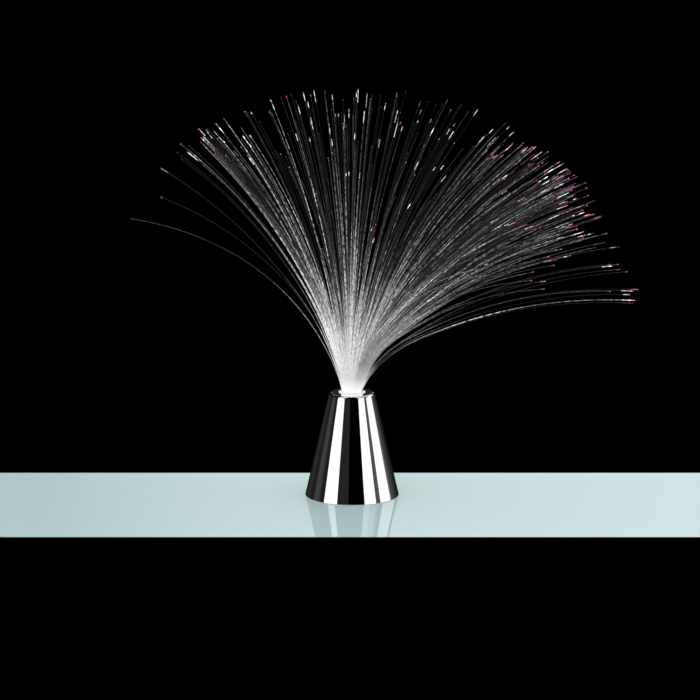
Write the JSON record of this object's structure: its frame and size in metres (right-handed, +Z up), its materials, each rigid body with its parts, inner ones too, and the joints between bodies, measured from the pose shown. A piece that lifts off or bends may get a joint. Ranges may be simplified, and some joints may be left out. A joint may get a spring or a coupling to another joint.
{
  "type": "fiber optic lamp",
  "caption": "Battery fibre optic table lamp: mirror-plated cone base with a glowing neck ring and a lift-out, turning spray of fine strands with lit tips that leans to one side.",
  "frame": {"origin": "middle of the ring-shaped foot, on the surface that the lamp stands on", "axes": "+Z up along the cone's axis, +X towards the side that the spray leans to, -Y towards the viewer"},
  "size_m": [0.4126, 0.3626, 0.3399],
  "materials": {
    "mirror_plating": "vacuum-plated mirror on moulded plastic",
    "black_plastic": "fine moulded texture",
    "knob_plastic": "fine moulded texture",
    "white_plastic": "smooth moulded",
    "glowing_ring": "translucent, lit from inside",
    "glowing_fibre": "clear polymer strand that carries light to its tip",
    "bundle_epoxy": "potted strands, polished below",
    "sleeve_aluminium": "drawn",
    "steel": "zinc-plated",
    "contact_nickel": "nickel-plated spring steel",
    "foot_rubber": "dense foam rubber",
    "board_green": "solder mask",
    "led_epoxy": "clear epoxy, lit",
    "cell_jacket": "plain shrink sleeve",
    "wire_red": "PVC",
    "wire_black": "PVC"
  },
  "bodies": {
    "base": {"cone_housing": "mirror_plating", "base_plate": "black_plastic", "foot_ring": "foot_rubber", "base_plate_screws": "steel", "contact_strip_positive": "contact_nickel", "contact_strip_negative": "contact_nickel", "contact_link_front": "contact_nickel", "contact_link_rear": "contact_nickel", "contact_springs": "contact_nickel", "slide_switch_body": "black_plastic", "switch_terminals": "contact_nickel", "fibre_socket": "white_plastic", "led_board": "board_green", "board_screws": "steel", "leds": "led_epoxy", "reflector_cup": "white_plastic", "controller_chip": "black_plastic", "resistors": "black_plastic", "wire_battery_to_switch": "wire_red", "wire_switch_to_board": "wire_red", "wire_battery_to_board": "wire_black", "battery_cell_1": "cell_jacket", "battery_cell_2": "cell_jacket", "battery_cell_3": "cell_jacket"},
    "door": {"battery_door": "black_plastic", "battery_door_screw": "steel"},
    "knob": {"switch_knob": "knob_plastic"},
    "ring": {"neck_ring": "glowing_ring"},
    "spray": {"ferrule": "sleeve_aluminium", "bundle_core": "bundle_epoxy", "fibre_strands_1": "glowing_fibre", "fibre_strands_2": "glowing_fibre", "fibre_strands_3": "glowing_fibre", "fibre_strands_4": "glowing_fibre", "fibre_strands_5": "glowing_fibre", "fibre_strands_6": "glowing_fibre", "fibre_strands_7": "glowing_fibre", "fibre_strands_8": "glowing_fibre"}
  },
  "joints": [
    {"name": "battery_door", "type": "hinge", "parent": "base", "child": "door", "pos_m": [0, 0.0245, 0.0031], "axis": [1, 0, 0], "range_deg": [0, 70]},
    {"name": "switch_slide", "type": "slide", "parent": "base", "child": "knob", "axis": [0, -1, 0], "range_m": [0, 0.002]},
    {"name": "spray_turn", "type": "hinge", "parent": "base", "child": "ring", "pos_m": [0, 0, 0.0885], "axis": [0, 0, 1], "continuous": true},
    {"name": "spray_lift", "type": "slide", "parent": "ring", "child": "spray", "axis": [0, 0, 1], "range_m": [0, 0.035]}
  ]
}
